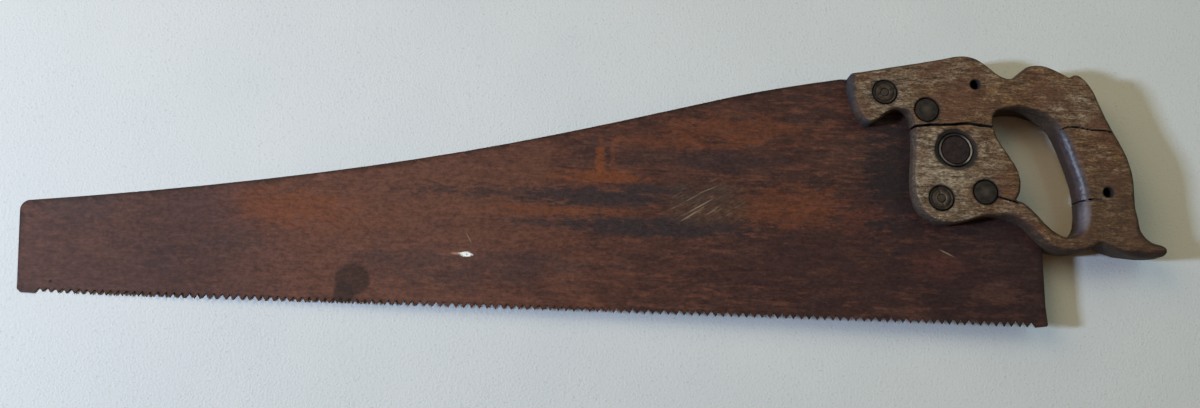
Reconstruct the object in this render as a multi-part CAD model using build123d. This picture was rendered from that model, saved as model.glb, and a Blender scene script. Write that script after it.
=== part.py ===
"""A 26 inch hand saw with 5 teeth to the inch, lying on its right side.

X runs along the teeth from the toe to the handle, Y from the teeth to the blade's back, and Z up out of
the handle's left face. The outlines are drawn with x = 0 at the first gullet and y = 0 half way up the
teeth, and every node is then moved so that the origin is under the middle of the whole saw's box.
"""

from build123d import *
import os

# Driving dimensions, in millimetres.
tooth_pitch = 5.08
tooth_count = 126
tooth_depth = 3.5
gullet_flat = 0.5
tooth_set = 0.25  # how far each tooth's tip leans out of the blade's plane, left and right in turn
blade_thickness = 1.0
handle_thickness = 22.2
edge_round = 3.0  # radius along the handle's edges
notch_round = 2.0  # and in its two notches
kerf_gap = 0.4  # between the blade's edge and the end of the slot in the handle

head_diameter = 16.0  # the four small bolts' heads and all five nuts
head_thickness = 2.3
head_recess = 0.3  # how far a head or a nut lies below the wood
neck_width = 7.0
neck_length = 4.0
shank_diameter = 5.6
sleeve_diameter = 8.6
sleeve_length = 4.5
slot_width = 1.2
slot_depth = 0.9
blade_hole_diameter = 6.6

medallion_diameter = 22.8
medallion_thickness = 3.0
medallion_rim = 1.7
medallion_dish = 1.3  # depth of the seat that holds the disc
disc_thickness = 0.8
stain_diameter = 27.0  # shallow ring cut round the medallion
stain_depth = 0.5

hang_hole_diameter = 6.0

# Where the fasteners and the two drilled holes are, and which side each bolt's head is on.
small_bolts = {
    "top_front": ((545.5, 151.3), "right"),
    "top_rear": ((573.4, 140.1), "left"),
    "bottom_front": ((581.0, 79.9), "right"),
    "bottom_rear": ((610.4, 85.0), "left"),
}
medallion_place = (591.8, 113.2)
drilled_holes = [(606.6, 159.1), (691.7, 87.9)]

# Worked out from those.
blade_middle = handle_thickness / 2
root_line = tooth_depth / 2
tip_line = -tooth_depth / 2
toothed_length = tooth_pitch * tooth_count


def closed(*runs):
    """The flat face inside a loop of runs of line or curve, given in order."""
    return make_face(Wire([edge for run in runs for edge in run.edges()]))


def slab(face, low, high):
    """A flat face drawn on the XY plane, made into a solid from z = low to z = high."""
    return extrude(Pos(0, 0, low) * face, amount=high - low)


def rod(place, diameter, low, high):
    """An upright cylinder."""
    return Pos(place[0], place[1], low) * Cylinder(
        diameter / 2, high - low, align=(Align.CENTER, Align.CENTER, Align.MIN)
    )


def bar(place, width, depth, low, high):
    """An upright block."""
    return Pos(place[0], place[1], low) * Box(
        width, depth, high - low, align=(Align.CENTER, Align.CENTER, Align.MIN)
    )


# The blade.

heel_line = 650.0
back_at_handle = (518.2, 162.7)
hidden_end = [  # the blade's end inside the handle, from its back to its heel
    (532, 162.5),
    (600, 152),
    (606, 122),
    (620, 92),
    (622, 80),
    (640, 69),
    (heel_line, 57),
]


def blade_outline():
    """The plate without its teeth: a skewed back, a square heel and a short plain toe."""
    toe_corner = (-14.0, 0.8)
    toe_top = (-19.7, 52.0)
    back_start = (-13.5, 59.0)
    bottom = Polyline(
        (heel_line, 12),
        (heel_line + 1, 0.4),
        (heel_line + 0.2, -0.8),
        (toothed_length + tooth_pitch / 2, tip_line),
        (toothed_length + gullet_flat / 2, root_line),
        (-gullet_flat / 2, root_line),
        (-tooth_pitch / 2, tip_line),
        (-11.5, -1.4),
        toe_corner,
    )
    toe = Line(toe_corner, toe_top)
    corner = TangentArc(toe_top, back_start, tangent=(toe_top[0] - toe_corner[0], toe_top[1] - toe_corner[1]))
    back = Spline(
        back_start, (120, 76.1), (276.2, 104.6), (420, 140.8), (452.5, 149.3), (486, 156.6), back_at_handle
    )
    end = Polyline(back_at_handle, *hidden_end, (heel_line, 12))
    return closed(bottom, toe, corner, back, end)


def teeth(first, lean):
    """Every second tooth, from the given one, each leaning out of the blade's plane towards its tip."""
    half = blade_thickness / 2
    ground = tooth_pitch / 2 - gullet_flat / 2
    outline = Sketch()
    for number in range(first, tooth_count, 2):
        middle = (number + 0.5) * tooth_pitch
        outline += make_face(
            Polyline(
                (middle - ground, root_line), (middle, tip_line), (middle + ground, root_line), close=True
            )
        )
    section = make_face(
        Polyline(
            (root_line, blade_middle - half),
            (root_line, blade_middle + half),
            (tip_line, blade_middle + half + lean),
            (tip_line, blade_middle - half + lean),
            close=True,
        )
    )
    leaning_strip = extrude(Plane.YZ * section, amount=toothed_length)
    return leaning_strip & slab(outline, 0, handle_thickness)


def make_blade():
    half = blade_thickness / 2
    blade = slab(blade_outline(), blade_middle - half, blade_middle + half)
    blade = blade + teeth(0, tooth_set) + teeth(1, -tooth_set)
    for place in [medallion_place] + [place for place, side in small_bolts.values()]:
        blade -= rod(place, blade_hole_diameter, 0, handle_thickness)
    return blade


# The handle.


def handle_outline():
    """The outer edge in two stretches, the back and the front, that meet at two small notches."""
    top_notch = (672, 167.3)
    horn_notch = (685.2, 53.3)
    back = Spline(
        top_notch,
        (677.2, 169.1),
        (682.9, 165.0),
        (688.1, 157),
        (691.9, 147.8),
        (699.1, 132.8),
        (704.8, 120.4),
        (710.3, 99),
        (710.4, 78),
        (714.5, 62.8),
        (720.6, 56.9),
        (726.2, 55),
        (729, 53.3),
        (729.9, 50.1),
        (728, 47.3),
        (724.6, 46.3),
        (712, 45.7),
        (699, 47.8),
        horn_notch,
    )
    front = Spline(
        horn_notch,
        (674, 48.3),
        (662, 47.2),
        (650.5, 50),
        (642, 57.7),
        (634, 64.8),
        (622, 68.8),
        (608, 68),
        (593, 63.8),
        (580, 63.2),
        (569.3, 68.8),
        (563.6, 79.5),
        (563, 100),
        (564, 128),
        (561, 137.8),
        (555, 139.6),
        (544.5, 134.6),
        (535.3, 129),
        (526.6, 137),
        (522.3, 150),
        (521.3, 158.4),
        (522.6, 163.6),
        (528, 165.5),
        (556, 171.2),
        (582, 176.3),
        (594, 179),
        (602, 179.7),
        (608.5, 178),
        (615, 173.9),
        (621, 169),
        (627, 165.6),
        (633, 165.4),
        (638.7, 170),
        (643.5, 173.8),
        (650.5, 175.1),
        (662.5, 171.9),
        top_notch,
    )
    outline = closed(back, front)
    return fillet(outline.vertices(), notch_round)


def hand_hole_outline():
    """The grip's opening: a straight top, the grip's hollow curve, the thin arm and the cheek's bulge."""
    cheek_corner = (632, 81.2)
    top_left = (618.5, 132)
    grip_side = Spline(
        top_left,
        (620.6, 139.6),
        (629.5, 142.9),
        (643, 142.7),
        (656, 136.8),
        (666.4, 116.7),
        (673.6, 90),
        (674.2, 74),
        (670.5, 60.6),
        (663, 57.8),
        (655.6, 61.2),
        (646, 71),
        cheek_corner,
    )
    cheek_side = Spline(cheek_corner, (634.8, 91), (632.4, 103), (623, 118.5), top_left)
    return closed(grip_side, cheek_side)


def make_handle():
    outline = handle_outline() - hand_hole_outline()
    handle = slab(outline, 0, handle_thickness)
    faces = handle.faces().sort_by(Axis.Z)
    rims = faces[0].edges() + faces[-1].edges()
    handle = fillet(rims, edge_round)

    half = blade_thickness / 2
    slot = offset(blade_outline(), kerf_gap)
    handle -= slab(slot, blade_middle - half, blade_middle + half)

    top = handle_thickness
    for place, side in small_bolts.values():
        handle -= upright(bolt_hole(place), side)
    handle -= rod(medallion_place, stain_diameter, top - stain_depth, top)
    handle -= medallion_hole(medallion_place)
    for place in drilled_holes:
        handle -= rod(place, hang_hole_diameter, 0, top)
    return handle


# The fasteners. Each is made with its head on the left face, which is up, and turned over if need be.

head_bottom = handle_thickness - head_recess - head_thickness
nut_top = head_recess + head_thickness


def upright(thing, side):
    """The thing as made, or turned over about the blade's middle if its head is on the right face."""
    if side == "left":
        return thing
    return mirror(thing, Plane.XY.offset(blade_middle))


def bolt_hole(place):
    """What a small bolt and its nut take out of the handle."""
    hole = rod(place, head_diameter, head_bottom, handle_thickness)
    hole += bar(place, neck_width, neck_width, head_bottom - neck_length, handle_thickness)
    hole += rod(place, shank_diameter, 0, handle_thickness)
    hole += rod(place, sleeve_diameter, 0, nut_top + sleeve_length)
    hole += rod(place, head_diameter, 0, nut_top)
    return hole


def medallion_hole(place):
    """What the medallion bolt and its nut take out of the handle."""
    seat = handle_thickness - stain_depth - medallion_thickness
    hole = rod(place, medallion_diameter, seat, handle_thickness)
    hole += bar(place, neck_width, neck_width, seat - neck_length, handle_thickness)
    hole += rod(place, shank_diameter, 0, handle_thickness)
    hole += rod(place, sleeve_diameter, 0, nut_top + sleeve_length)
    hole += rod(place, head_diameter, 0, nut_top)
    return hole


def make_bolt(place):
    """A flat round head, a square neck that grips the wood and a plain shank that ends in the nut."""
    bolt = rod(place, head_diameter, head_bottom, head_bottom + head_thickness)
    rim = bolt.edges().sort_by(Axis.Z)[-1]
    bolt = fillet(rim, 0.5)
    bolt += bar(place, neck_width, neck_width, head_bottom - neck_length, head_bottom)
    bolt += rod(place, shank_diameter, head_recess, head_bottom)
    return bolt


def make_nut(place):
    """A split nut: a round plate with a slot across it, and a sleeve down into the wood."""
    nut = rod(place, head_diameter, head_recess, nut_top)
    rim = nut.edges().sort_by(Axis.Z)[0]
    nut = fillet(rim, 0.5)
    nut += rod(place, sleeve_diameter, nut_top, nut_top + sleeve_length)
    nut -= bar(place, head_diameter, slot_width, head_recess, head_recess + slot_depth)
    nut -= rod(place, shank_diameter, 0, nut_top + sleeve_length)
    return nut


def make_medallion_bolt(place):
    """The large middle bolt, whose head is a cup with a raised rim."""
    top = handle_thickness - stain_depth
    seat = top - medallion_thickness
    bolt = rod(place, medallion_diameter, seat, top)
    rim = bolt.edges().sort_by(Axis.Z)[-1]
    bolt = fillet(rim, 0.5)
    bolt -= rod(place, medallion_diameter - 2 * medallion_rim, top - medallion_dish, top)
    bolt += bar(place, neck_width, neck_width, seat - neck_length, seat)
    bolt += rod(place, shank_diameter, head_recess, seat)
    return bolt


def make_medallion_disc(place):
    """The plain disc pressed into the cup."""
    seat = handle_thickness - stain_depth - medallion_dish
    return rod(place, medallion_diameter - 2 * medallion_rim, seat, seat + disc_thickness)


def make_nodes():
    nodes = {
        "blade": make_blade(),
        "handle": make_handle(),
        "medallion_bolt": make_medallion_bolt(medallion_place),
        "medallion_disc": make_medallion_disc(medallion_place),
        "medallion_nut": make_nut(medallion_place),
    }
    for name, (place, side) in small_bolts.items():
        nodes["bolt_" + name] = upright(make_bolt(place), side)
        nodes["nut_" + name] = upright(make_nut(place), side)
    return nodes


nodes = make_nodes()
box = nodes["blade"].bounding_box().add(nodes["handle"].bounding_box())
to_origin = Pos(-(box.min.X + box.max.X) / 2, -(box.min.Y + box.max.Y) / 2, -box.min.Z)
print("moved by", to_origin.position)
os.makedirs("parts", exist_ok=True)
for name, node in nodes.items():
    export_step(to_origin * node, f"parts/{name}.step")
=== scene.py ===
"""The looks of a weathered hand saw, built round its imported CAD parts.

Lengths are millimetres unless a comment says otherwise. They become metres where a mesh is made.
Places on the handle and on the blade are measured from the low corner of that node's own CAD box.
"""

import math

import bpy
import numpy as np
from mathutils import Matrix, Vector, geometry


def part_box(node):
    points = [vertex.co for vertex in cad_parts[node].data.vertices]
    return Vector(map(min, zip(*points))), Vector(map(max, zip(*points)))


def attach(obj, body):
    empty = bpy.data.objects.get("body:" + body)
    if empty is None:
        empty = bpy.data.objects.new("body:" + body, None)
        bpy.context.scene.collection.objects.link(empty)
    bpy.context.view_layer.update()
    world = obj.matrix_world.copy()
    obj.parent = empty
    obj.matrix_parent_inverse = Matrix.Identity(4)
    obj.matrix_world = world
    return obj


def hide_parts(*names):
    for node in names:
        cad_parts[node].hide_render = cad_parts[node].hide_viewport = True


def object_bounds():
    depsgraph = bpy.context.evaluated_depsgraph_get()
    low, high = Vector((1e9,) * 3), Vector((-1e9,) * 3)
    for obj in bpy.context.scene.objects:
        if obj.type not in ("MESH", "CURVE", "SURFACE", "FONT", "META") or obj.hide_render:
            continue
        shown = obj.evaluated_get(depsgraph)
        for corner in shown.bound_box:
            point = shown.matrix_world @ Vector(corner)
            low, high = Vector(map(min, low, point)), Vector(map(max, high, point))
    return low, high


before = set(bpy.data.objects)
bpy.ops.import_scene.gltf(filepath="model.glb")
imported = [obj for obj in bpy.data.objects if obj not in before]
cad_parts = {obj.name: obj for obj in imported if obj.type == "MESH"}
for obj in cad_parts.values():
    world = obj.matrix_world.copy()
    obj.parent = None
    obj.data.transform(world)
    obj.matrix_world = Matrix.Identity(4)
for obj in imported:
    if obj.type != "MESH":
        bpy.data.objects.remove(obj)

for leftover in ("Cube", "Light", "Camera"):
    if leftover in bpy.data.objects:
        bpy.data.objects.remove(bpy.data.objects[leftover])
cad_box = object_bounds()

scene = bpy.context.scene
scene.view_settings.view_transform = "Standard"
MM = 0.001


def node_box(node):
    """The low and high corners of a CAD node, in millimetres."""
    low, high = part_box(node)
    return np.array(low) / MM, np.array(high) / MM


saw_low, saw_high = (np.array(corner) / MM for corner in cad_box)
handle_low, handle_high = node_box("handle")
blade_low, blade_high = node_box("blade")
handle_thickness = handle_high[2] - handle_low[2]
blade_middle = (blade_low[2] + blade_high[2]) / 2
blade_half = 0.5  # half the plate's thickness, which the teeth's set goes beyond
edge_round = 3.0  # the CAD handle's rounded edges: its walls start at this height


def add_object(name, data):
    made = bpy.data.objects.new(name, data)
    scene.collection.objects.link(made)
    return made


# Camera and light.


def make_camera():
    """Nearly straight above, leaning towards the teeth by the tilt."""
    tilt, lean, roll = (math.radians(angle) for angle in (12, 0.832, 1.892))
    distance = 0.6603  # in metres, as is how far the saw's middle lies off the view's middle
    off_centre = Vector((0.0023, -0.01905, 0))
    aim = Vector((saw_low + saw_high) / 2 * MM) + off_centre
    back = Vector(
        (-math.sin(lean), -math.sin(tilt) * math.cos(lean), math.cos(tilt) * math.cos(lean))
    )
    level = Vector((0, 1, 0)).cross(back).normalized()
    upright = back.cross(level)
    right = math.cos(roll) * level + math.sin(roll) * upright
    up = math.cos(roll) * upright - math.sin(roll) * level
    lens = bpy.data.cameras.new("camera")
    lens.lens = 30
    lens.sensor_width = 36
    lens.clip_start = 0.01
    camera = add_object("camera", lens)
    placed = Matrix((right, up, back)).transposed().to_4x4()
    placed.translation = aim + distance * back
    camera.matrix_world = placed
    scene.camera = camera


def add_light(name, place, size, power, color, spread=180):
    """A square soft light that points at the saw. Place and size are in metres, the spread in degrees."""
    light = bpy.data.lights.new(name, "AREA")
    light.size = size
    light.energy = power
    light.spread = math.radians(spread)
    light.color = color
    lamp = add_object(name, light)
    lamp.location = place
    lamp.rotation_euler = (-Vector(place)).to_track_quat("-Z", "Y").to_euler()


def make_world():
    """Almost no light of its own, and a pale backdrop where the camera sees past the table."""
    world = bpy.data.worlds.new("room")
    world.use_nodes = True
    scene.world = world
    tree = world.node_tree
    dim = tree.nodes["Background"]
    dim.inputs["Color"].default_value = (0.090, 0.052, 0.026, 1)
    pale = tree.nodes.new("ShaderNodeBackground")
    pale.inputs["Color"].default_value = (0.62, 0.64, 0.65, 1)
    seen = tree.nodes.new("ShaderNodeLightPath")
    mix = tree.nodes.new("ShaderNodeMixShader")
    for source, end in zip((seen.outputs["Is Camera Ray"], dim.outputs[0], pale.outputs[0]), mix.inputs):
        tree.links.new(source, end)
    tree.links.new(mix.outputs[0], tree.nodes["World Output"].inputs["Surface"])


make_camera()
add_light("window", (-1.9, -0.25, 1.08), 0.22, 11.9, (0.57, 0.74, 0.97), spread=90)
add_light("room_light", (-1.5, 1.2, 1.5), 1.6, 23, (1.0, 0.79, 0.46))
add_light("far_wall", (1.6, 1.2, 1.6), 2.0, 15, (0.68, 0.94, 0.80))
make_world()


# Finishes.


def tone(red, green, blue, light=0.86):
    """The surface colour that looks like these 0 to 255 screen values where this much light falls."""
    shares = [value / 255 for value in (red, green, blue)]
    linear = [s / 12.92 if s <= 0.04045 else ((s + 0.055) / 1.055) ** 2.4 for s in shares]
    return (*[value / light for value in linear], 1)


class Finish:
    """A procedural material being wired up. Each method adds nodes and gives back their output."""

    def __init__(self, name, low):
        """Places and sizes in this material are millimetres from the low corner."""
        self.material = bpy.data.materials.new(name)
        self.material.use_nodes = True
        self.tree = self.material.node_tree
        self.shader = self.tree.nodes["Principled BSDF"]
        metres = self.node("TexCoord").outputs["Object"]
        scaled = self.vector("MULTIPLY", metres, (1 / MM,) * 3)
        self.place = self.vector("SUBTRACT", scaled, tuple(low))
        self.x, self.y, self.z = self.node("SeparateXYZ", [self.place]).outputs
        self.ragged = self.noise(7, 7, (3, 1, 1), 0.7, shift=500)

    def node(self, kind, inputs=(), **settings):
        made = self.tree.nodes.new("ShaderNode" + kind)
        for name, value in settings.items():
            setattr(made, name, value)
        for socket, value in zip(made.inputs, inputs):
            self.put(socket, value)
        return made

    def put(self, socket, value):
        if isinstance(value, bpy.types.NodeSocket):
            self.tree.links.new(value, socket)
        else:
            socket.default_value = value

    def wire(self, made, values):
        """Puts a value on each socket given, by name or by number."""
        for name, value in values.items():
            self.put(made.inputs[name], value)

    def vector(self, operation, first, second):
        return self.node("VectorMath", [first, second], operation=operation).outputs[0]

    def math(self, operation, first, second=0.0, clamp=False):
        made = self.node("Math", [first, second], operation=operation, use_clamp=clamp)
        return made.outputs[0]

    def times(self, first, second):
        return self.math("MULTIPLY", first, second)

    def swing(self, noise, amount):
        """The noise moved from round 0.5 to round 0, times the amount."""
        return self.times(self.math("SUBTRACT", noise, 0.5), amount)

    def turned(self, place, turn):
        """The place turned back by an angle in degrees, so that what is drawn there leans by it."""
        made = self.node("VectorRotate", [place], rotation_type="Z_AXIS")
        made.inputs["Angle"].default_value = -math.radians(turn)
        return made.outputs[0]

    def noise(self, size, detail=3.0, stretch=(1, 1, 1), rough=0.55, shift=0.0, turn=0.0):
        """Cloudy values round 0.5 whose blobs are about the given size, longer where stretched."""
        scale = tuple(1 / (size * share) for share in stretch)
        moved = self.vector("ADD", self.place, (shift, shift * 0.7, shift * 0.3))
        if turn:
            moved = self.turned(moved, turn)
        where = self.vector("MULTIPLY", moved, scale)
        made = self.node("TexNoise")
        self.wire(made, {"Vector": where, "Scale": 1, "Detail": detail, "Roughness": rough})
        return made.outputs["Fac"]

    def between(self, value, low, high):
        """0 at low and 1 at high, with an ease in and out; low may be the larger of the two."""
        made = self.node("MapRange", interpolation_type="SMOOTHSTEP")
        self.wire(made, {"Value": value, "From Min": low, "From Max": high})
        return made.outputs["Result"]

    def ramp(self, value, *stops):
        """Colours by position, given as (position, colour)."""
        made = self.node("ValToRGB", [value])
        band = made.color_ramp
        while len(band.elements) < len(stops):
            band.elements.new(1)
        for element, (position, color) in zip(band.elements, stops):
            element.position = position
            element.color = color
        return made.outputs["Color"]

    def mix(self, share, first, second):
        made = self.node("Mix", data_type="RGBA")
        self.wire(made, {"Factor": share, 6: first, 7: second})
        return made.outputs[2]

    def shade(self, color, value, low, high):
        """The colour times low where the noise is low, and times high where it is high."""
        amount = self.node("MapRange")
        limits = {"From Min": 0.36, "From Max": 0.64, "To Min": low, "To Max": high}
        self.wire(amount, {"Value": value, **limits})
        scaled = self.node("VectorMath", [color], operation="SCALE")
        self.wire(scaled, {"Scale": amount.outputs["Result"]})
        return scaled.outputs[0]

    def patch(self, centre, half, soft=0.4, wander=0.5, turn=0.0, edge=None):
        """An oval patch: 1 inside, 0 outside. Its edge wanders with a noise. Turn is in degrees."""
        moved = self.vector("SUBTRACT", self.place, (*centre, 0))
        shares = self.vector("MULTIPLY", self.turned(moved, turn), (1 / half[0], 1 / half[1], 0))
        out = self.node("VectorMath", [shares], operation="LENGTH").outputs["Value"]
        if wander:
            out = self.math("ADD", out, self.swing(edge or self.ragged, wander * 6))
        return self.between(out, 1 + soft, 1 - soft)

    def tint(self, color, mask, amount, paint):
        """The colour with some of another laid over it where the mask is."""
        return self.mix(self.times(mask, amount), color, paint)

    def layers(self, color, *coats):
        """Several tints in turn, each as its mask, amount and paint."""
        for mask, amount, paint in coats:
            color = self.tint(color, mask, amount, paint)
        return color

    def attribute(self, name):
        """A value that the mesh carries at each of its points."""
        return self.node("Attribute", attribute_name=name).outputs["Fac"]

    def finish(self, color, roughness, height, depth, metallic=0.0, specular=0.5):
        """Wires the shader. Depth is how tall the bumps are."""
        bump = self.node("Bump")
        self.wire(bump, {"Strength": 1, "Distance": depth * MM, "Height": height})
        values = {"Base Color": color, "Roughness": roughness, "Metallic": metallic}
        self.wire(self.shader, {**values, "Specular IOR Level": specular, "Normal": bump.outputs["Normal"]})
        return self.material


def table_finish():
    """Pale painted metal with a fine pitted skin."""
    f = Finish("table_top", (0, 0, 0))
    cloud = f.noise(90, 3)
    pits = f.noise(1.5, 3)
    color = f.ramp(cloud, (0.3, (0.78, 0.79, 0.80, 1)), (0.7, (0.82, 0.82, 0.82, 1)))
    color = f.tint(color, f.between(pits, 0.60, 0.70), 0.45, (0.56, 0.57, 0.58, 1))
    return f.finish(color, f.between(cloud, -1.2, 1.6), pits, 0.25, specular=0.3)


def wood_finish():
    """Weathered beech: flecks along the grain, darker where hands and rust have stained it."""
    f = Finish("weathered_wood", handle_low)
    fleck = f.noise(1.2, 5, (2.1, 0.9, 0.9), 0.72, shift=31)
    streak = f.noise(3.4, 6, (3.0, 0.8, 1), 0.70, shift=40)
    worn = f.noise(8, 5, (1.5, 1, 1), 0.62, shift=90)
    tint = f.noise(22, 3, shift=250)
    grit = f.noise(0.9, 2, shift=700)
    grain = f.math("ADD", f.times(fleck, 0.5), f.times(streak, 0.5))

    bleached_wood = f.ramp(
        grain,
        (0.39, tone(44, 31, 23)),
        (0.45, tone(84, 65, 49)),
        (0.51, tone(120, 100, 81)),
        (0.60, tone(176, 158, 134)),
    )
    brown_wood = f.ramp(
        grain,
        (0.38, tone(42, 27, 18)),
        (0.46, tone(82, 53, 34)),
        (0.53, tone(110, 76, 47)),
        (0.62, tone(152, 116, 76)),
    )

    # The cheek and the nose are bleached; the middle, the hump, the grip and the horn stay brown.
    bleached_areas = [
        ((54, 30), (29, 16), 0.90),
        ((52, 58), (21, 22), 1.25),
        ((88, 62), (16, 20), 0.55),
        ((24, 102), (18, 17), 0.85),
        ((62, 122), (46, 12), 0.45),
        ((112, 27), (20, 9), 0.45),
        ((154, 100), (26, 12), 0.5),
    ]
    bleach = f.swing(worn, 2.6)
    for centre, half, amount in bleached_areas:
        bleach = f.math("ADD", bleach, f.times(f.patch(centre, half, 0.5, 0.25), amount))
    bleach = f.math("ADD", bleach, 0.05, clamp=True)
    color = f.mix(bleach, brown_wood, bleached_wood)
    color = f.tint(color, f.between(tint, 0.49, 0.64), 0.55, tone(94, 55, 38))
    color = f.tint(color, f.between(tint, 0.46, 0.34), 0.25, tone(112, 88, 58))
    color = f.shade(color, worn, 0.86, 1.12)
    color = f.shade(color, grit, 0.82, 1.18)
    # Open grain shows as thin dark lines, with paler ridges between them.
    lines = f.noise(1.0, 4, (11, 0.9, 0.9), 0.72, shift=333)
    pale_flecks = f.ramp(grain, (0.41, tone(84, 64, 47)), (0.56, tone(214, 194, 164)))
    palest = f.patch((60, 51), (17, 10), 0.6, 0.5)
    lower_grip = f.patch((172, 22), (34, 34), 0.6, 0.2)
    color = f.layers(
        color,
        (f.between(lines, 0.45, 0.37), 0.62, tone(44, 27, 18)),
        (f.between(lines, 0.57, 0.66), 0.30, tone(158, 132, 100)),
        (palest, 0.35, pale_flecks),
        (lower_grip, 0.45, tone(66, 48, 35)),
    )

    # Rust from the medallion has bled into the wood round it.
    stain = f.times(f.patch(on_handle("medallion_bolt"), (14.8, 13.8), 0.08, 0.12), f.between(f.z, 11, 14))
    color = f.tint(color, stain, 0.92, tone(34, 22, 21))

    # Handled surfaces have gone dark and smooth. Cracks, holes, the wood round the metal and the blade
    # slot's mouth are darkened, partly by dirt and partly as painted shade.
    polish_and_sheen = f.attribute("polish_and_sheen")
    # The grip's inner wall is painted as a purple-grey sheen, with a painted highlight low on the wall and
    # painted shade on the wall's lower half.
    rubbed = f.ramp(worn, (0.35, tone(38, 29, 31)), (0.65, tone(72, 61, 69)))
    rubbed = f.tint(rubbed, f.patch((156, 25), (5, 10), 0.5, 0.2), 0.45, tone(112, 106, 116))
    rubbed = f.mix(f.between(f.z, 17, 11), rubbed, tone(40, 30, 31))
    color = f.layers(
        color,
        # The walls are painted darker, partly as worn edges and partly as painted shade.
        (f.attribute("edge"), 0.78, tone(36, 27, 22)),
        # The nose's left edge is painted dark as dirt, and the band under its hook is painted shade.
        (f.attribute("nose_dirt_and_shade"), 0.85, tone(36, 34, 40)),
        (polish_and_sheen, 1.0, rubbed),
        (f.attribute("grime_and_shade"), 1.0, tone(22, 15, 13)),
    )

    roughness = f.math("SUBTRACT", 0.80, f.times(polish_and_sheen, 0.40))
    height = f.times(grain, f.math("SUBTRACT", 1.1, polish_and_sheen))
    return f.finish(color, roughness, height, 0.5)


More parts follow.
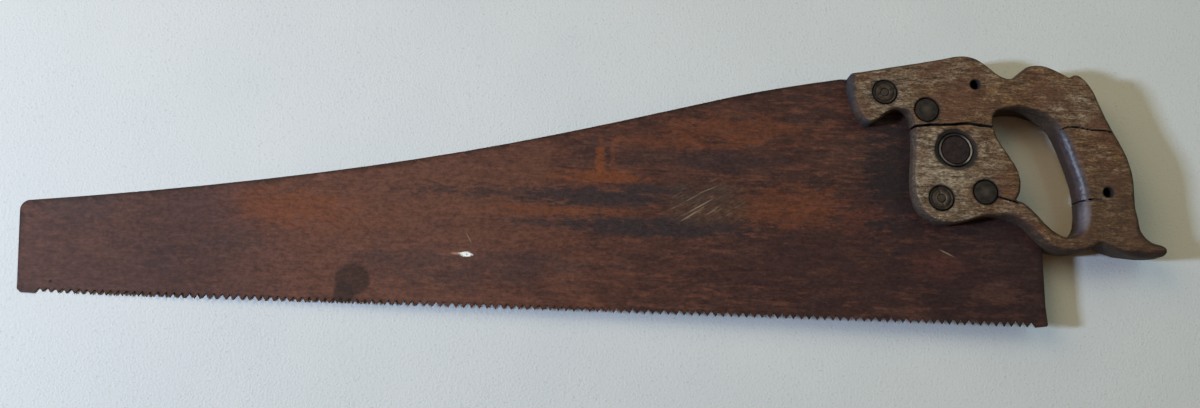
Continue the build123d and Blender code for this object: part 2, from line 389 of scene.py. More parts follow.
def blade_finish():
    """Old steel under brown rust drawn out along the blade, with slate, orange and rubbed areas."""
    f = Finish("rusted_steel", blade_low)
    # The two faces have rusted apart, so the lower one reads every noise from somewhere else.
    side = blade_middle - blade_low[2]
    upper = f.between(f.z, side - 0.08, side + 0.08)
    lower = f.math("SUBTRACT", 1.0, upper)
    elsewhere = f.node("CombineXYZ", [0.0, 0.0, f.times(lower, 340)])
    f.place = f.vector("ADD", f.place, elsewhere.outputs[0])
    f.ragged = f.noise(4.5, 9, (3.6, 1, 1), 0.80, shift=500)
    grit = f.noise(2.0, 5, (1.6, 1, 1), 0.75)
    brushed = f.noise(1.1, 4, (15, 1, 1), 0.65, shift=70)
    streak = f.noise(4.0, 6, (5, 1, 1), 0.66, shift=15)
    drawn = f.noise(6.0, 6, (6, 0.9, 1), 0.7, shift=150)
    cloud = f.noise(26, 4, (1.6, 1, 1), 0.55, shift=300)
    # The streaks are strongest in the middle of the blade.
    worked = f.times(f.between(f.x, 230, 420), f.between(f.x, 720, 520))

    length = blade_high[0] - blade_low[0]
    along = f.math("ADD", f.x, f.swing(cloud, 110))
    color = f.ramp(
        f.math("DIVIDE", along, length),
        (0.00, tone(85, 57, 51)),
        (0.17, tone(78, 53, 48)),
        (0.27, tone(99, 64, 53)),
        (0.42, tone(100, 66, 55)),
        (0.53, tone(90, 57, 47)),
        (0.62, tone(78, 50, 43)),
        (0.78, tone(70, 46, 41)),
        (0.90, tone(55, 37, 36)),
    )
    light_streak = f.times(f.between(streak, 0.525, 0.585), worked)
    dark_streak = f.times(f.between(drawn, 0.465, 0.41), worked)
    mottle = f.noise(3.2, 7, (2.2, 1, 1), 0.78, shift=820)
    light_mottle = f.times(f.between(mottle, 0.46, 0.40), f.between(f.x, 640, 480))
    color = f.layers(
        color,
        (f.between(cloud, 0.52, 0.68), 0.4, tone(62, 49, 50)),
        (f.between(cloud, 0.46, 0.32), 0.3, tone(100, 68, 56)),
        (light_streak, 0.38, tone(112, 68, 50)),
        (dark_streak, 0.48, tone(50, 36, 36)),
        (f.between(mottle, 0.53, 0.60), 0.30, tone(52, 37, 36)),
        (light_mottle, 0.22, tone(118, 76, 58)),
    )
    color = f.shade(color, streak, 0.88, 1.12)
    color = f.shade(color, brushed, 0.92, 1.08)

    orange = tone(120, 66, 40)
    slate = tone(52, 44, 46)
    dim_slate = tone(62, 52, 54)
    areas = [
        ((170, 63), (34, 11), orange, 0.45),
        ((196, 60), (40, 14), orange, 0.22),
        ((330, 70), (95, 22), tone(104, 66, 50), 0.35),
        ((376.5, 104), (2.6, 16), orange, 0.8),
        ((384.6, 106), (1.5, 13), orange, 0.4),
        ((378, 89), (26, 4.5), orange, 0.7),
        ((356, 66), (48, 4), orange, 0.4),
        ((500, 72), (40, 14), orange, 0.45),
        ((470, 127), (46, 8), orange, 0.38),
        ((432, 116), (40, 5), orange, 0.38),
        ((597, 39), (18, 8), tone(104, 58, 50), 0.5),
        ((560, 70), (22, 14), tone(96, 52, 44), 0.4),
        ((640, 22), (16, 7), tone(100, 66, 56), 0.35),
        ((372, 77), (92, 5.0), slate, 0.6),
        ((376, 77), (42, 7.0), slate, 0.7),
        ((398, 57), (78, 4.5), slate, 0.6),
        ((416, 57.5), (58, 6.5), slate, 0.8),
        ((420, 83), (32, 4.0), slate, 0.75),
        ((446, 104), (46, 7.0), slate, 0.45),
        ((312, 30), (60, 9), dim_slate, 0.3),
        ((450, 74), (24, 12), tone(78, 60, 49), 0.5),
        ((527, 33), (76, 24), tone(56, 37, 37), 0.6),
        ((575, 98), (19, 40), tone(42, 35, 37), 0.85),
        ((37, 57), (22, 10), dim_slate, 0.40),
        ((135, 37), (17, 9), dim_slate, 0.30),
        ((70, 86), (80, 9), dim_slate, 0.35),
        ((118, 58), (22, 14), tone(86, 60, 62), 0.35),
    ]
    lower_areas = [
        ((150, 50), (80, 14), orange, 0.40),
        ((330, 58), (120, 9), slate, 0.60),
        ((420, 96), (60, 8), slate, 0.50),
        ((480, 70), (70, 13), orange, 0.40),
        ((560, 40), (80, 24), tone(56, 37, 37), 0.55),
        ((575, 98), (19, 40), tone(42, 35, 37), 0.85),
    ]
    for face, areas_there in ((upper, areas), (lower, lower_areas)):
        for centre, half, paint, amount in areas_there:
            mask = f.times(f.patch(centre, half, 0.35, 1.1), face)
            color = f.tint(color, mask, amount, paint)
    for centre, half in (((219, 16), (11.5, 11.0)), ((214, 6), (7, 8))):
        mask = f.times(f.patch(centre, half, 0.14, 0.10, edge=cloud), upper)
        color = f.tint(color, mask, 0.78, tone(56, 41, 37))
    color = f.shade(color, grit, 0.72, 1.28)

    # Small marks: dark pits, pale flecks, scratches, a drilled pit by the toe, and one dented spot whose
    # bare metal is painted near white as a painted glint.
    speck = f.noise(1.5, 4, (1.8, 1, 1), 0.7, shift=130)
    color = f.tint(color, f.between(speck, 0.38, 0.30), 0.6, tone(38, 25, 24))
    color = f.tint(color, f.between(speck, 0.64, 0.74), 0.5, tone(120, 88, 70))
    scratches = [
        ((443, 72.5), (9.5, 0.45), 31, 0.55),
        ((437.5, 66.5), (7, 0.5), 33, 0.55),
        ((449, 84.2), (6, 0.4), 24, 0.35),
        ((438, 78), (6, 0.4), 30, 0.35),
        ((452, 70), (5, 0.4), 36, 0.35),
        ((606, 47), (4.6, 0.4), -25, 0.6),
        ((292.3, 45.7), (3.4, 0.3), -60, 0.5),
    ]
    scribble = f.between(f.noise(1.0, 4, (9, 1, 1), 0.7, shift=210, turn=27), 0.54, 0.66)
    scribbled = f.times(f.patch((448, 76), (26, 12), 0.5, 0.5), scribble)
    dent_and_glint = f.patch((290.8, 35.0), (3.8, 1.5), 0.3, 0.3, edge=speck)
    marks = [(scribbled, 0.55, tone(142, 116, 90))]
    for centre, half, turn, amount in scratches:
        marks.append((f.patch(centre, half, 0.5, 0.12, turn, edge=speck), amount, tone(158, 138, 116)))
    marks += [
        (f.patch((286, 35.3), (4.5, 0.9), 0.4, 0.0), 0.6, tone(180, 140, 116)),
        (dent_and_glint, 1.0, tone(250, 247, 242)),
        (f.patch((291.6, 34.9), (0.55, 0.5), 0.4, 0.0), 0.8, tone(110, 92, 84)),
        (f.patch((26.3, 8.0), (1.1, 1.1), 0.4, 0.0), 0.85, tone(26, 20, 20)),
    ]
    for mask, amount, paint in marks:
        color = f.tint(color, f.times(mask, upper), amount, paint)

    # The rim and its bevels are painted dark: partly rust along the edge, partly painted shade.
    color = f.tint(color, f.attribute("edge"), 0.92, tone(30, 22, 21))
    roughness = f.math("ADD", 0.45, f.times(grit, 0.25))
    height = f.math("ADD", f.times(brushed, 0.3), grit)
    height = f.math("SUBTRACT", height, f.times(dent_and_glint, upper))
    return f.finish(color, roughness, height, 0.16, specular=0.15)


def metal_finish(name, dark, bright, rubbed):
    """Tarnished metal, dark in its hollows from dirt and painted shade, and rubbed brighter on what stands
    proud, with a painted highlight on the medallion's rim.
    """
    f = Finish(name, handle_low)
    rub_and_highlight = f.attribute("rub_and_highlight")
    cloud = f.noise(3.0, 4, shift=20)
    pits = f.noise(0.8, 3, shift=60)
    color = f.layers(
        f.ramp(cloud, (0.35, dark), (0.65, bright)),
        (f.between(pits, 0.42, 0.32), 0.6, tone(22, 16, 14)),
        (rub_and_highlight, 1.0, rubbed),
        (f.attribute("grime_and_shade"), 1.0, tone(16, 12, 10)),
    )
    roughness = f.math("SUBTRACT", 0.62, f.times(rub_and_highlight, 0.3))
    height = f.math("ADD", cloud, pits)
    return f.finish(color, roughness, height, 0.15, metallic=0.15, specular=0.3)


# Shapes from distances: a piece is what lies inside a distance sampled on a grid.


def surface_of(distance, grid, step):
    """The points and quads where a distance sampled on a grid passes zero. It is negative inside."""
    origin = np.array([line[0] for line in grid])
    cells = tuple(count - 1 for count in distance.shape)
    total = np.zeros(cells + (3,), np.float32)
    crossings = np.zeros(cells, np.float32)
    crossed_edges = []
    for axis in range(3):
        near = np.take(distance, range(cells[axis]), axis)
        far = np.take(distance, range(1, cells[axis] + 1), axis)
        crossed = (near < 0) != (far < 0)
        along = np.where(crossed, near / np.where(crossed, near - far, 1), 0)
        crossed_edges.append((crossed, near < 0))
        first, second = [other for other in range(3) if other != axis]
        for i in (0, 1):
            for j in (0, 1):
                window = [slice(None)] * 3
                window[first] = slice(i, i + cells[first])
                window[second] = slice(j, j + cells[second])
                here = crossed[tuple(window)]
                crossings += here
                total[..., axis] += along[tuple(window)]
                total[..., first] += here * i
                total[..., second] += here * j
    used = crossings > 0
    number = np.full(cells, -1)
    number[used] = np.arange(used.sum())
    points = np.argwhere(used) + total[used] / crossings[used][:, None]
    quads = []
    for axis, (crossed, starts_inside) in enumerate(crossed_edges):
        b, c = (axis + 1) % 3, (axis + 2) % 3
        where = np.argwhere(crossed)
        corners = []
        for move_b, move_c in ((1, 1), (0, 1), (0, 0), (1, 0)):
            cell = where.copy()
            cell[:, b] -= move_b
            cell[:, c] -= move_c
            corners.append(number[tuple(cell.T)])
        quad = np.stack(corners, 1)
        outward = starts_inside[tuple(where.T)]
        quad[~outward] = quad[~outward][:, ::-1]
        quads.append(quad)
    return origin + points * step, np.concatenate(quads)


def grid_of(low, high, step):
    """The grid's three coordinate lists, from a step and a half below low to as much above high."""
    start, end = low - 1.5 * step, high + 1.5 * step
    counts = np.round((end - start) / step).astype(int) + 1
    return [start[axis] + step[axis] * np.arange(counts[axis]) for axis in range(3)]


def rounded(side, face, radius):
    """Distance to a body with round edges, from those to its walls and faces moved in by the radius."""
    outside = np.hypot(np.maximum(side, 0), np.maximum(face, 0))
    return outside + np.minimum(np.maximum(side, face), 0) - radius


def smooth_max(first, second, blend):
    """The larger of two distances, with the corner between them rounded over about the blend."""
    apart = np.maximum(blend - np.abs(first - second), 0) / blend
    return np.maximum(first, second) + apart * apart * blend / 4


def ease(value, low, high):
    """0 at low and 1 at high, smooth at both ends; low may be the larger of the two."""
    share = np.clip((value - low) / (high - low), 0, 1)
    return share * share * (3 - 2 * share)


def random_field(points, cell, seed):
    """Smooth random values from -1 to 1 at points, changing over the cell's three sizes."""
    size = 32
    table = np.random.default_rng(seed).uniform(-1, 1, (size, size, size))
    scaled = points / np.array(cell, float)
    corner = np.floor(scaled).astype(int)
    part = scaled - corner
    part = part * part * (3 - 2 * part)
    total = np.zeros(len(points))
    for dx in (0, 1):
        for dy in (0, 1):
            for dz in (0, 1):
                weight = np.ones(len(points))
                for axis, move in enumerate((dx, dy, dz)):
                    weight *= part[:, axis] if move else 1 - part[:, axis]
                index = (corner + (dx, dy, dz)) % size
                total += weight * table[tuple(index.T)]
    return total


def mesh_piece(name, points, faces, smooth=True):
    """A mesh object from points in row-frame millimetres."""
    mesh = bpy.data.meshes.new(name)
    mesh.from_pydata((points * MM).tolist(), [], [list(map(int, face)) for face in faces])
    mesh.update()
    mesh.polygons.foreach_set("use_smooth", [smooth] * len(mesh.polygons))
    return add_object(name, mesh)


def simplified(piece, share):
    """Merges edges where the surface is flattest until this share of the faces is left."""
    modifier = piece.modifiers.new("simplify", "DECIMATE")
    modifier.ratio = share
    shown = piece.evaluated_get(bpy.context.evaluated_depsgraph_get())
    piece.data = bpy.data.meshes.new_from_object(shown)
    piece.modifiers.clear()


def at_points(piece, what):
    flat = np.zeros(len(piece.data.vertices) * 3, np.float32)
    piece.data.vertices.foreach_get(what, flat)
    return flat.reshape(-1, 3).astype(float)


def points_of(piece):
    return at_points(piece, "co") / MM


def normals_of(piece):
    return at_points(piece, "normal")


def move_points(piece, points):
    piece.data.vertices.foreach_set("co", (points * MM).astype(np.float32).ravel())
    piece.data.update()


def set_attribute(piece, name, values):
    made = piece.data.attributes.new(name, "FLOAT", "POINT")
    made.data.foreach_set("value", np.clip(values, 0, 1).astype(np.float32))


def give(piece, material, slot, *nodes):
    """Finishes a piece: its material, and the CAD nodes it stands for, which it hides. The slot is not
    used.
    """
    piece.data.materials.append(material)
    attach(piece, "root")
    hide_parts(*nodes)


# Outlines, read from the CAD meshes.


def edge_loops(node, height):
    """The closed loops of face borders that run level at one height, longest first."""
    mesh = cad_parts[node].data
    points = np.array([vertex.co for vertex in mesh.vertices]) / MM
    uses = {}
    for face in mesh.polygons:
        for key in face.edge_keys:
            uses[key] = uses.get(key, 0) + 1
    level = abs(points[:, 2] - height) < 0.002
    around = {}
    for (a, b), count in uses.items():
        if count == 1 and level[a] and level[b]:
            first, second = (tuple(np.round(points[i, :2], 2)) for i in (a, b))
            if first != second:
                around.setdefault(first, set()).add(second)
                around.setdefault(second, set()).add(first)
    loops = []
    while around:
        point = next(iter(around))
        loop = []
        while point in around:
            loop.append(point)
            following = [n for n in around.pop(point) if n in around]
            point = following[0] if following else None
        loops.append(np.array(loop))
    return sorted(loops, key=len, reverse=True)


def lengths(rows):
    return np.linalg.norm(rows, axis=1, keepdims=True)


def rounder(loop):
    """A closed loop with a curved point added in the middle of each run."""
    before, after, beyond = (np.roll(loop, -shift, axis=0) for shift in (-1, 1, 2))
    middle = (9 * (loop + after) - before - beyond) / 16
    longest = np.maximum(lengths(loop - before), lengths(beyond - after))
    middle = np.where(longest > 3 * lengths(after - loop), (loop + after) / 2, middle)
    return np.stack([loop, middle], 1).reshape(-1, 2)


def distance_to_line(xs, ys, points, reach):
    """Distance from each grid point to a run of points, up to reach, and how far along it that is."""
    nearest = np.full((len(xs), len(ys)), float(reach))
    share = np.zeros_like(nearest)
    for number, (start, end) in enumerate(zip(points, points[1:])):
        low, high = np.minimum(start, end) - reach, np.maximum(start, end) + reach
        i = slice(np.searchsorted(xs, low[0]), np.searchsorted(xs, high[0]))
        j = slice(np.searchsorted(ys, low[1]), np.searchsorted(ys, high[1]))
        x, y = xs[i, None] - start[0], ys[None, j] - start[1]
        run = end - start
        length = max(run @ run, 1e-9)
        part = np.clip((x * run[0] + y * run[1]) / length, 0, 1)
        apart = np.hypot(x - part * run[0], y - part * run[1])
        closer = apart < nearest[i, j]
        nearest[i, j] = np.where(closer, apart, nearest[i, j])
        share[i, j] = np.where(closer, number + part, share[i, j])
    return nearest, share


def inside_loops(xs, ys, loops):
    """Whether each grid point lies inside an odd number of the loops, which end where they start."""
    flips = np.zeros((len(xs) + 1, len(ys)), int)
    for loop in loops:
        for start, end in zip(loop, loop[1:]):
            rows = np.nonzero((ys > min(start[1], end[1])) & (ys <= max(start[1], end[1])))[0]
            if len(rows):
                crossing = start[0] + (ys[rows] - start[1]) * (end[0] - start[0]) / (end[1] - start[1])
                np.add.at(flips, (np.searchsorted(xs, crossing), rows), 1)
    return np.cumsum(flips, axis=0)[:-1] % 2 == 1


def flat_distance(xs, ys, loops, reach):
    """Signed distance to an outline with holes, negative inside."""
    loops = [np.vstack([loop, loop[:1]]) for loop in loops]
    nearest = np.minimum.reduce([distance_to_line(xs, ys, loop, reach)[0] for loop in loops])
    return np.where(inside_loops(xs, ys, loops), -nearest, nearest)


# The fasteners.

small_bolts = ["top_front", "top_rear", "bottom_front", "bottom_rear"]
head_radius = 8.0  # of the small bolts, and of every nut's face
head_thickness = 2.3
neck_half = 3.5
neck_length = 4.0
shank_radius = 2.75
sleeve_radius = 4.3
sleeve_length = 4.5
ring_radius = 6.2  # the ring turned in a nut's face
slot_half = 0.5
slot_depth = 0.35
medallion_radius = 11.4
medallion_thickness = 3.0
medallion_rim = 1.7
medallion_dish = 1.3
disc_radius = 9.55
sunk = 0.3  # how far necks and sleeves start inside the head, so that they join it


def centre_of(node):
    low, high = node_box(node)
    return (low + high)[:2] / 2


def on_handle(node):
    """A node's centre, measured from the handle's low corner."""
    return centre_of(node) - handle_low[:2]


def head_is_up(name):
    """A bolt's head is on the upper face where its nut is in the lower half."""
    return node_box("nut_" + name)[1][2] < handle_thickness / 2


def plate(across, depth, radius, thickness, rounding):
    """Distance to a round plate whose face is at depth 0, with rounded edges."""
    half = thickness / 2
    return rounded(across - (radius - rounding), abs(depth - half) - (half - rounding), rounding)


def tube(across, depth, radius, start, end):
    """Distance to a plain round bar between two depths."""
    return np.maximum(across - radius, np.maximum(start - depth, depth - end))


def square_neck(x, y, depth, start):
    return tube(np.maximum(abs(x), abs(y)), depth, neck_half, start - sunk, start + neck_length)


# The four shapes below are called alike, so each is given a value or two that it doesn't need.


def bolt_distance(x, y, depth, length, seed):
    """A low domed head on a square neck and a plain shank."""
    across = np.hypot(x, y)
    dome = 0.55 * (across / head_radius) ** 2
    head = plate(across, depth - dome, head_radius, head_thickness, 0.7)
    head = np.maximum(head, depth - head_thickness)
    neck = square_neck(x, y, depth, head_thickness)
    tip = length - 0.25 * (across / shank_radius) ** 2
    shank = tube(across, depth, shank_radius, head_thickness, tip)
    return np.minimum(np.minimum(head, neck), shank)


def nut_distance(x, y, depth, length, seed):
    """A split nut: a plate with a ring turned in its face, a slot across it and a sleeve behind."""
    across = np.hypot(x, y)
    face = plate(across, depth, head_radius, head_thickness, 0.5)
    ring = np.hypot(across - ring_radius, depth + 0.25) - 0.75
    face = smooth_max(face, -ring, 0.4)
    turn = math.radians(25 + 40 * seed)
    offset = x * math.sin(turn) - y * math.cos(turn)
    slot = np.maximum(abs(offset) - slot_half, depth - slot_depth)
    face = smooth_max(face, -slot, 0.3)
    sleeve = tube(across, depth, sleeve_radius, head_thickness - sunk, head_thickness + sleeve_length)
    return np.maximum(np.minimum(face, sleeve), shank_radius + 0.1 - across)


def medallion_distance(x, y, depth, length, seed):
    """A cup with a raised round rim, on a square neck and a shank."""
    low, high = node_box("medallion_bolt")
    radius = (high[0] - low[0]) / 2
    across = np.hypot(x, y)
    cup = plate(across, depth, radius, medallion_thickness, 0.75)
    dish = tube(across, depth, radius - medallion_rim, -1, medallion_dish)
    cup = smooth_max(cup, -dish, 0.6)
    neck = square_neck(x, y, depth, medallion_thickness)
    shank = tube(across, depth, shank_radius, medallion_thickness, length)
    return np.minimum(np.minimum(cup, neck), shank)


def disc_distance(x, y, depth, length, seed):
    """A thin plain disc, very slightly domed."""
    across = np.hypot(x, y)
    return plate(across, depth - 0.15 * (across / 9.6) ** 2, disc_radius, length, 0.3)


def fastener(name, shape, up, seed):
    """One dented fastener inside its CAD box. Also, for each point, how far out and how deep it lies."""
    low, high = node_box(name)
    middle = (low + high) / 2
    length = high[2] - low[2]
    step = np.full(3, 0.35)
    xs, ys, zs = grid = grid_of(low, high, step)
    x, y, z = np.meshgrid(xs - middle[0], ys - middle[1], zs, indexing="ij")
    depth = high[2] - z if up else z - low[2]
    points, quads = surface_of(shape(x, y, depth, length, seed), grid, step)
    piece = mesh_piece(name + "_worn", points, quads)
    dents = 0.10 * random_field(points, (2.2,) * 3, 11 + seed) - 0.10
    moved = points + normals_of(piece) * dents[:, None]
    move_points(piece, np.clip(moved, low, high))
    across = np.hypot(*(points - middle)[:, :2].T)
    below = high[2] - points[:, 2] if up else points[:, 2] - low[2]
    return piece, across, below


def make_nut(name, up, seed, material, middle_rub=0.15):
    """A nut darkened in its ring, in its slot and round its rim, partly by dirt and partly as painted
    shade, with a rubbed middle.
    """
    nut, across, below = fastener(name, nut_distance, up, seed)
    hollow = ease(below, 0.12, 0.5)
    rim = ease(across, 6.8, 7.8)
    set_attribute(nut, "grime_and_shade", np.maximum(hollow * 0.55, rim * 0.85))
    set_attribute(nut, "rub_and_highlight", middle_rub * ease(across, 4.8, 1.8))
    give(nut, material, "fastener_steel", name)


def make_fasteners():
    """The five bolts with their nuts, and the disc in the medallion."""
    steel = metal_finish("tarnished_steel", tone(32, 25, 22), tone(52, 43, 37), tone(130, 112, 94))
    rusty = metal_finish("rusty_steel", tone(44, 33, 27), tone(76, 61, 49), tone(150, 132, 112))
    cup = metal_finish("tarnished_cup", tone(32, 24, 23), tone(52, 40, 38), tone(164, 154, 140))
    disc = metal_finish("tarnished_disc", tone(30, 20, 21), tone(54, 38, 39), tone(70, 58, 54))
    for seed, name in enumerate(small_bolts):
        up = head_is_up(name)
        bolt, across, _ = fastener("bolt_" + name, bolt_distance, up, seed)
        # The head's rim, where it meets the wood, is darkened: partly dirt, partly painted shade.
        set_attribute(bolt, "grime_and_shade", ease(across, 6.8, head_radius) * 0.6)
        set_attribute(bolt, "rub_and_highlight", 0.18 * ease(across, 5, 0))
        give(bolt, steel, "fastener_steel", "bolt_" + name)
        middle_rub = 0.5 if name == "bottom_front" else 0.15
        make_nut("nut_" + name, not up, seed, steel if up else rusty, middle_rub)
    bolt, across, below = fastener("medallion_bolt", medallion_distance, True, 5)
    radius = across.max()
    crest = ease(abs(across - radius + medallion_rim * 0.6), 0.8, 0.3) * ease(below, 0.5, 0.1)
    points = points_of(bolt)
    from_centre = points[:, :2] - centre_of("medallion_bolt")
    around = np.arctan2(from_centre[:, 1], from_centre[:, 0])
    # A painted highlight on the rim's crest: brightest on its right side and fainter on its lower left,
    # where the rim faces the light. Elsewhere the crest is just rubbed.
    side = ease(np.cos(around - 0.05), 0.3, 0.9) + 0.4 * ease(np.cos(around + 2.75), 0.3, 0.95)
    # Inside the cup, below the rim's crest, is darkened: partly dirt, partly painted shade.
    set_attribute(bolt, "grime_and_shade", ease(below, 0.7, 1.4))
    patchy = 0.75 + 0.45 * random_field(points, (2.5, 2.5, 2.5), 12)
    set_attribute(bolt, "rub_and_highlight", crest * side * patchy)
    give(bolt, cup, "medallion_metal", "medallion_bolt")
    plain, across, _ = fastener("medallion_disc", disc_distance, True, 6)
    # The disc's edge beside the cup's rim is darkened: partly dirt, partly painted shade.
    set_attribute(plain, "grime_and_shade", ease(across, 8.4, 9.5) * 0.8)
    set_attribute(plain, "rub_and_highlight", np.zeros(len(across)))
    give(plain, disc, "disc_metal", "medallion_disc")
    make_nut("medallion_nut", False, 7, steel)


# The handle.

hang_holes = [(85.3, 113.4), (170.4, 42.2)]
hang_hole_radius = 3.0
stain_radius = 13.5
stain_depth = 0.5
kerf_gap = 0.4

# Where the wood has split: points along each crack, its half width and its depth. The one whose depth is
# None goes right through.
cracks = [
    ([(38, 81.6), (43, 82.6), (54, 84.0), (67, 84.6), (79, 85.9), (87, 85.1), (98, 83.9)], 0.55, None),
    ([(95, 37.2), (100.2, 35.7), (104.7, 34.5), (111, 33.0)], 0.38, 5.0),
    ([(142, 84.4), (147, 86.3), (154, 86.0), (162, 84.5), (171, 84.5), (178, 83.4)], 0.24, 3.0),
    ([(148, 36.0), (157.8, 37.0), (165.5, 37.6)], 0.22, 3.0),
]
# Where the edges are rounder than elsewhere: centre, half size and the edge's radius there.
rounder_places = [
    ((4, 98), (8, 18), 5.0),
    ((48, 30), (8, 40), 3.6),
    ((158, 55), (27, 46), 7.3),
    ((118, 16), (26, 22), 5.5),
    ((196, 8), (14, 14), 8.0),
]


def handle_radius(x, y):
    """How round the handle's edges are at each place."""
    radius = np.full(np.broadcast(x, y).shape, edge_round)
    for (cx, cy), (wide, tall), value in rounder_places:
        near = np.exp(-(((x - cx) / wide) ** 4) - ((y - cy) / tall) ** 4)
        radius = np.maximum(radius, edge_round + (value - edge_round) * near)
    return radius


def handle_shape(xs, ys, zs):
    """Distance to the handle on a grid. Places are measured from the handle's low corner."""
    middle = handle_thickness / 2
    loops = [rounder(rounder(loop - handle_low[:2])) for loop in edge_loops("handle", edge_round)]
    flat = flat_distance(xs, ys, loops, 10)
    x, y = xs[:, None], ys[None, :]
    grid = np.stack(np.broadcast_arrays(x, y, 0.0), -1).reshape(-1, 3)

    def field(cell, seed):
        return random_field(grid, (cell, cell, 1), seed).reshape(flat.shape)

    nose = np.exp(-((x / 9) ** 4) - ((y - 104) / 24) ** 4)
    flat = flat + nose * np.maximum(field(3, 3), 0) * 0.9
    radius = (handle_radius(x, y) + 0.35 * field(14, 4))[:, :, None]
    z = zs[None, None, :] - middle
    body = rounded(flat[:, :, None] + radius, abs(z) - (middle - radius), radius).astype(np.float32)

    ragged = 1 + 0.35 * field(2, 9)
    for path, half_width, depth in cracks:
        apart, along = distance_to_line(xs, ys, np.array(path, float), 4)
        ends = len(path) - 1
        width = half_width * ragged
        if depth is None:
            gap = (apart - width)[:, :, None] + 0 * body
        else:
            width = width * np.clip(np.minimum(along, ends - along) * 2 + 0.25, 0, 1)
            gap = apart[:, :, None] - width[:, :, None] * (1 + body / depth)
        body = smooth_max(body, -gap, 0.35)

    def cut(place, radius, low, high, soft):
        nonlocal body
        across = np.hypot(x - place[0], y - place[1])[:, :, None] - radius
        hole = np.maximum(across, np.maximum(low - zs, zs - high)[None, None, :])
        body = smooth_max(body, -hole, soft)

    clear = 0.2
    head_hole, neck_hole = head_radius + clear, neck_half * 1.45
    below, above = -5, handle_thickness + 5  # well out of the wood
    for name in small_bolts:
        place = on_handle("bolt_" + name)
        upper, lower = ("bolt_", "nut_") if head_is_up(name) else ("nut_", "bolt_")
        top = node_box(upper + name)[1][2] - head_thickness
        bottom = node_box(lower + name)[0][2] + head_thickness
        cut(place, head_hole, top, above, 0.9)
        cut(place, head_hole, below, bottom, 0.9)
        cut(place, neck_hole, bottom - 1, top + 1, 0.1)
    place = on_handle("medallion_bolt")
    seat = node_box("medallion_bolt")[1][2] - medallion_thickness
    cut(place, medallion_radius + clear, seat, above, 0.6)
    cut(place, stain_radius, handle_thickness - stain_depth, above, 0.8)
    cut(place, head_hole, below, node_box("medallion_nut")[0][2] + head_thickness, 0.9)
    cut(place, neck_hole, 1, seat + 1, 0.1)
    for hole in hang_holes:
        cut(hole, hang_hole_radius - 0.2, below, above, 1.6)

    plate_loop = edge_loops("blade", blade_middle + blade_half)[0] - handle_low[:2]
    sheet = flat_distance(xs, ys, [plate_loop], 6)[:, :, None] - kerf_gap
    slot = np.maximum(sheet, abs(z) - blade_half - 0.05)
    return np.maximum(body, -slot)


def make_handle():
    """The wood: its worn shape, a light relief along the grain, and the marks its finish reads."""
    step = np.array([0.55, 0.55, handle_thickness / 40])
    grid = grid_of(0, handle_high - handle_low, step)
    points, quads = surface_of(handle_shape(*grid), grid, step)
    handle = mesh_piece("handle_weathered", points + handle_low, quads)
    simplified(handle, 0.41)

    local = points_of(handle) - handle_low
    normals = normals_of(handle)
    grain = random_field(local, (14, 1.6, 1.6), 21) + 0.6 * random_field(local, (6, 0.9, 0.9), 22)
    wear = random_field(local, (9, 7, 7), 23)
    inward = 0.10 * (grain - 1.6) + 0.12 * (wear - 1)
    moved = local + normals * inward[:, None]
    move_points(handle, np.clip(moved + handle_low, handle_low, handle_high))
    paint_handle(handle, local, normals)
    give(handle, wood_finish(), "handle_wood", "handle")


def paint_handle(handle, local, normals):
    """Marks where the wood is darkened by dirt and painted shade, where it is rubbed smooth under a painted
    sheen, and where its walls are worn and painted with shade.
    """
    cell = 0.5
    x, y, z = local.T
    xs, ys = (np.arange(-2, side + 3, cell) for side in (handle_high - handle_low)[:2])
    column = np.clip(np.round((x - xs[0]) / cell).astype(int), 0, len(xs) - 1)
    row = np.clip(np.round((y - ys[0]) / cell).astype(int), 0, len(ys) - 1)
    blotches = random_field(local, (5, 4, 5), 31)

    def away(place):
        return np.hypot(x - place[0], y - place[1])

    # Darkening from dirt and painted shade: the cracks, the wood round the bolts and the medallion, the
    # hang holes, and the mouth of the blade slot.
    dirt = []
    for path, half_width, _ in cracks:
        apart = distance_to_line(xs, ys, np.array(path, float), 4)[0][column, row]
        dirt.append(ease(apart, half_width + 0.5, half_width * 0.8))
    for name in small_bolts:
        across = away(on_handle("bolt_" + name))
        dirt.append(0.7 * ease(across, 10.5 + 1.5 * blotches, head_radius))
    across = away(on_handle("medallion_bolt"))
    dirt.append(0.80 * ease(across, 15.2 + 2.0 * blotches, 13.0 + 1.2 * blotches))
    for place in hang_holes:
        dirt.append(ease(away(place), 4.6, 3.1))
    near_kerf = ease(abs(z - blade_middle), 5.0, 1.0) * ease(x, 75, 40)
    dirt.append(0.55 * near_kerf * ease(x, 70, 50))
    set_attribute(handle, "grime_and_shade", np.maximum.reduce(dirt))

    # Walls, away from the flat faces, are darkened: partly worn edges, partly painted shade where they face
    # away from the light.
    set_attribute(handle, "edge", ease(abs(normals[:, 2]), 0.97, 0.75))
    # A dark blue-black band down the nose's left edge is dirt. The band under the nose's hook is painted
    # shade, where that wall faces down.
    nose_band = ease(x + 1.2 * blotches, 5.0, 2.5) * ease(y, 78, 90)
    hook_band = ease(y + 0.25 * x + blotches, 90.5, 87.5) * ease(x, 30, 24) * ease(y, 78, 82)
    set_attribute(handle, "nose_dirt_and_shade", np.maximum(nose_band, 0.8 * hook_band))
    # The grip's inner wall is rubbed smooth, and its finish also paints a sheen and shade on it.
    grip = ease(x, 128, 140) * ease(x, 168, 156) * ease(y, 6, 16) * ease(y, 92, 78)
    facing_hole = ease(-normals[:, 0], 0.15, 0.5)
    set_attribute(handle, "polish_and_sheen", grip * facing_hole * 0.9)


# The blade.

tooth_depth = 3.5
gullet_half = 0.25
tooth_count = 126
tooth_set = 0.25
tip_half = 0.16  # a tooth's tip is blunted: this half width, this far above its lowest point
tip_rise = 0.22
toe_wear = 8  # the first teeth, by the toe, are blunter
root_match = 0.02  # how near the root line a CAD point counts as on it


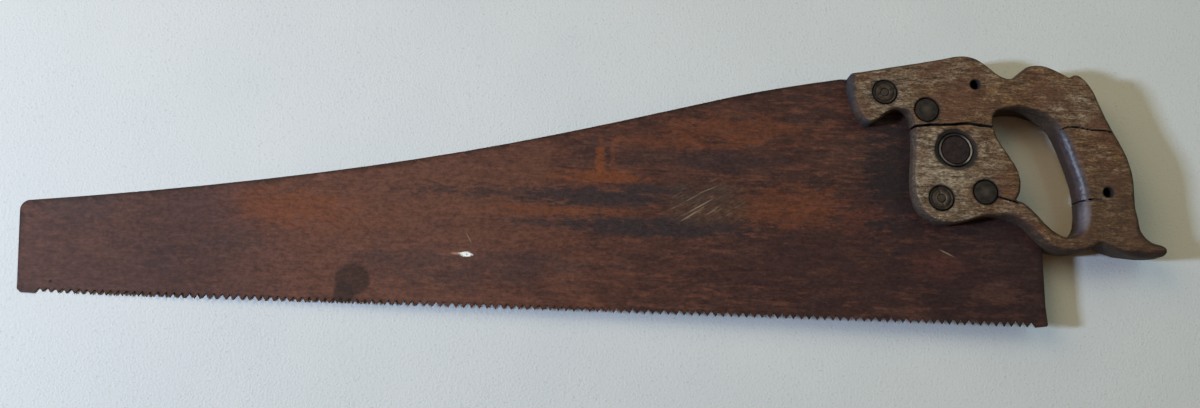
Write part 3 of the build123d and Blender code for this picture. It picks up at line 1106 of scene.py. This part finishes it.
def blade_loop():
    """The blade's outline with every tooth, anticlockwise, and each point's lean out of the plane."""
    outline = np.maximum(edge_loops("blade", blade_middle + blade_half)[0] - blade_low[:2], 0)
    area = np.sum(outline[:, 0] * np.roll(outline[:, 1], -1) - np.roll(outline[:, 0], -1) * outline[:, 1])
    if area < 0:
        outline = outline[::-1]
    on_root = abs(outline[:, 1] - tooth_depth) < root_match
    first, last = outline[on_root, 0].min(), outline[on_root, 0].max()
    start = int(np.nonzero(on_root & (outline[:, 0] == last))[0][0])
    plain = np.roll(outline, -start, axis=0)
    plain = plain[1:][abs(plain[1:, 1] - tooth_depth) > root_match]

    pitch = (last - first - 2 * gullet_half) / tooth_count
    chance = np.random.default_rng(5)
    points, leans = [], []
    for number in range(tooth_count):
        gullet = first + gullet_half + number * pitch
        blunt = 0.35 * (1 - number / toe_wear) if number < toe_wear else 0
        drop = max(0.0, blunt + chance.uniform(-0.04, 0.07))
        middle = gullet + pitch / 2 + chance.uniform(-0.18, 0.18)
        tip = tooth_depth * drop * 0.8
        lean = tooth_set * (1 if number % 2 == 0 else -1)
        points += [
            (gullet - gullet_half + 0.0001, tooth_depth),
            (gullet + gullet_half, tooth_depth),
            (middle - tip_half, tip + tip_rise),
            (middle, tip),
            (middle + tip_half, tip + tip_rise),
        ]
        leans += [0, 0, 0.94 * lean, lean, 0.94 * lean]
    points += [(last, tooth_depth), *map(tuple, plain)]
    leans += [0] * (1 + len(plain))
    return np.array(points), np.array(leans)


def offset_in(loop, amount):
    """Each point moved a little way inwards, square to the outline."""
    ahead = np.roll(loop, -1, axis=0) - loop
    ahead /= np.maximum(lengths(ahead), 1e-9)
    inward = np.stack([-ahead[:, 1], ahead[:, 0]], 1)
    both = inward + np.roll(inward, 1, axis=0)
    both /= np.maximum(lengths(both), 1e-9)
    return loop + both * amount


def bend_at(x, y):
    """How far the old plate has bent out of flat. It is straight inside the handle."""
    wave = 0.14 * random_field(np.stack([x, y, 0 * x], 1), (70, 45, 1), 41)
    return wave * ease(x, 520, 430)


def make_blade():
    """The plate: two faces, a bevelled rim and teeth that lean to alternate sides."""
    loop, leans = blade_loop()
    bevel = 0.10
    inner = offset_in(loop, bevel)
    count = len(loop)
    spacing = 5.0
    long, tall = (blade_high - blade_low)[:2]
    xs, ys = np.arange(0, long, spacing), np.arange(0, tall, spacing)
    inside = flat_distance(xs, ys, [loop], 8) < -1.8
    middle_points = [(xs[i], ys[j]) for i, j in np.argwhere(inside)]
    # A row of points close to the edge keeps the edge's dark colour from spreading over the plate.
    toothed = loop[:, 1] < tooth_depth + 1
    back_row = offset_in(loop, 0.9)[~toothed]
    tooth_row = [(x, tooth_depth + 1.2) for x in np.arange(12, long - 10, 2.5)]
    flat = [Vector(point) for row in (inner, middle_points, back_row, tooth_row) for point in row]
    rim = [(i, (i + 1) % count) for i in range(count)]
    found = geometry.delaunay_2d_cdt(flat, rim, [], 1, 1e-6)
    sheet_points, triangles = np.array([tuple(v) for v in found[0]]), found[2]
    origins = [source[0] for source in found[3]]
    leaning = np.array([leans[o] if o < count else 0 for o in origins])

    def layer(flat_points, lean, height):
        bent = bend_at(*flat_points.T) + lean + height
        return np.column_stack([flat_points + blade_low[:2], blade_middle + bent])

    top = layer(sheet_points, leaning, blade_half)
    bottom = layer(sheet_points, leaning, -blade_half)
    upper = layer(loop, leans, blade_half - bevel)
    lower = layer(loop, leans, bevel - blade_half)
    points = np.concatenate([top, bottom, upper, lower])
    size = len(top)
    faces = [*triangles, *([size + i for i in reversed(t)] for t in triangles)]
    rim_of = {origin: index for index, origin in enumerate(origins) if origin < count}
    top_rim = np.array([rim_of[i] for i in range(count)])
    upper_rim = 2 * size + np.arange(count)
    rings = [top_rim, upper_rim, upper_rim + count, top_rim + size]
    for above, beneath in zip(rings, rings[1:]):
        faces += [*zip(np.roll(above, -1), above, beneath, np.roll(beneath, -1))]
    blade = mesh_piece("blade_rusted", points, faces, smooth=False)
    # Marks the rim, which the finish paints dark: partly rust, partly painted shade.
    edge = np.zeros(len(points))
    edge[2 * size :] = 1
    edge[top_rim] = np.where(toothed, 0.3, 0.8)
    set_attribute(blade, "edge", edge)
    give(blade, blade_finish(), "blade_steel", "blade")


def make_table():
    """A pale table. The handle's underside touches it, and the toe is sunk a little way into it."""
    wide, deep = 1.0, 0.8  # half the table's sides, in metres
    heel = (handle_low[0] + 4) * MM
    drop = (blade_middle + 0.5 * blade_half) * MM
    slope = drop / (heel - saw_low[0] * MM)
    corners = [(-wide, -deep), (wide, -deep), (wide, deep), (-wide, deep)]
    mesh = bpy.data.meshes.new("table")
    mesh.from_pydata([(x, y, -(x - heel) * slope) for x, y in corners], [], [(0, 1, 2, 3)])
    mesh.materials.append(table_finish())
    table = add_object("table", mesh)


make_table()
make_blade()
make_handle()
make_fasteners()
